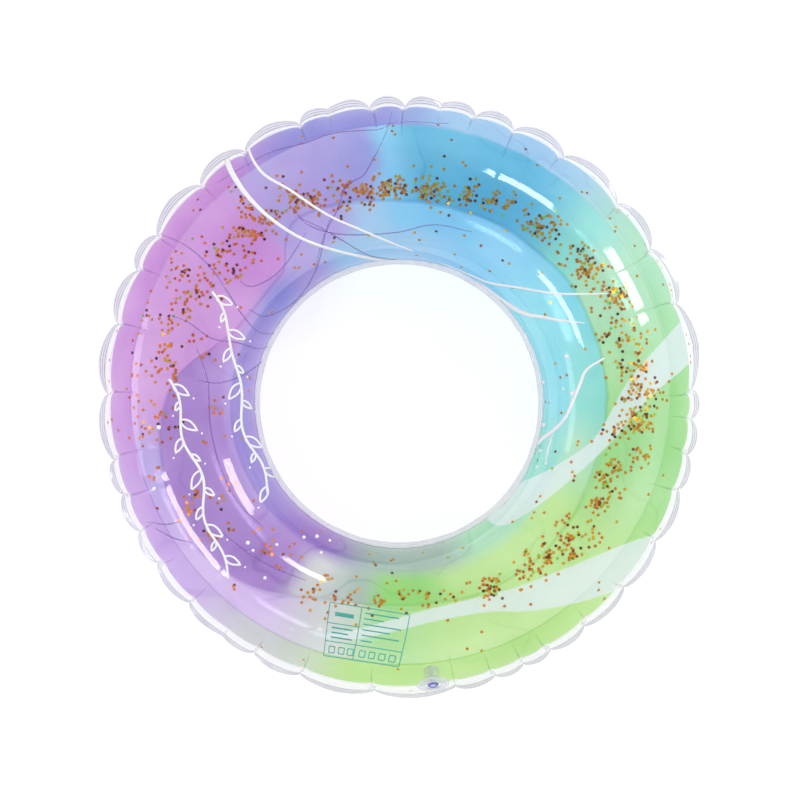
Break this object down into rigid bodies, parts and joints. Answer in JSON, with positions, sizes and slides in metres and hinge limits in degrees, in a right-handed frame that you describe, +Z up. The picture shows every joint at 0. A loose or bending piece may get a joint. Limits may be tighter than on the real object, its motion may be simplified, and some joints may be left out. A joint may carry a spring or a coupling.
{
  "type": "inflatable swim ring",
  "caption": "Round inflatable pool float of welded clear printed film with a puckered outer edge, loose sequins sealed inside and a pop-up air valve.",
  "frame": {"origin": "on the floor at the centre of the ring", "axes": "+Z up through the swimmer's hole, -Y the side near the valve, +X to the right seen from above with the valve at the bottom"},
  "size_m": [0.7056, 0.708, 0.1756],
  "materials": {
    "printed_film": "gloss",
    "printed_film_lower": "gloss",
    "clear_weld": "gloss",
    "valve_clear": "satin",
    "plug_blue": "satin",
    "sequin_gold": "polished",
    "sequin_copper": "polished",
    "sequin_wine": "polished",
    "sequin_holographic": "polished"
  },
  "bodies": {
    "ring": {"top_sheet": "printed_film", "bottom_sheet": "printed_film_lower", "outer_weld_seam": "clear_weld", "inner_weld_seam": "clear_weld", "valve_flange": "valve_clear", "valve_web": "valve_clear", "sequins_gold": "sequin_gold", "sequins_copper": "sequin_copper", "sequins_wine": "sequin_wine", "sequins_holographic": "sequin_holographic"},
    "stem": {"valve_stem": "valve_clear", "valve_strap": "plug_blue"},
    "plug": {"valve_plug": "plug_blue"},
    "flap": {"valve_check_flap": "valve_clear"}
  },
  "joints": [
    {"name": "stem_pop", "type": "slide", "parent": "ring", "child": "stem", "axis": [0.0995, -0.8603, 0.5], "range_m": [0, 0.018]},
    {"name": "plug_pull", "type": "slide", "parent": "stem", "child": "plug", "axis": [0.0995, -0.8603, 0.5], "range_m": [0, 0.012]},
    {"name": "flap_swing", "type": "hinge", "parent": "stem", "child": "flap", "pos_m": [0.0357, -0.30851, 0.12492], "axis": [0.9934, 0.1149, 0], "range_deg": [0, 60], "stiffness_Nm_per_rad": 0.0002, "springref_deg": -8.59}
  ]
}
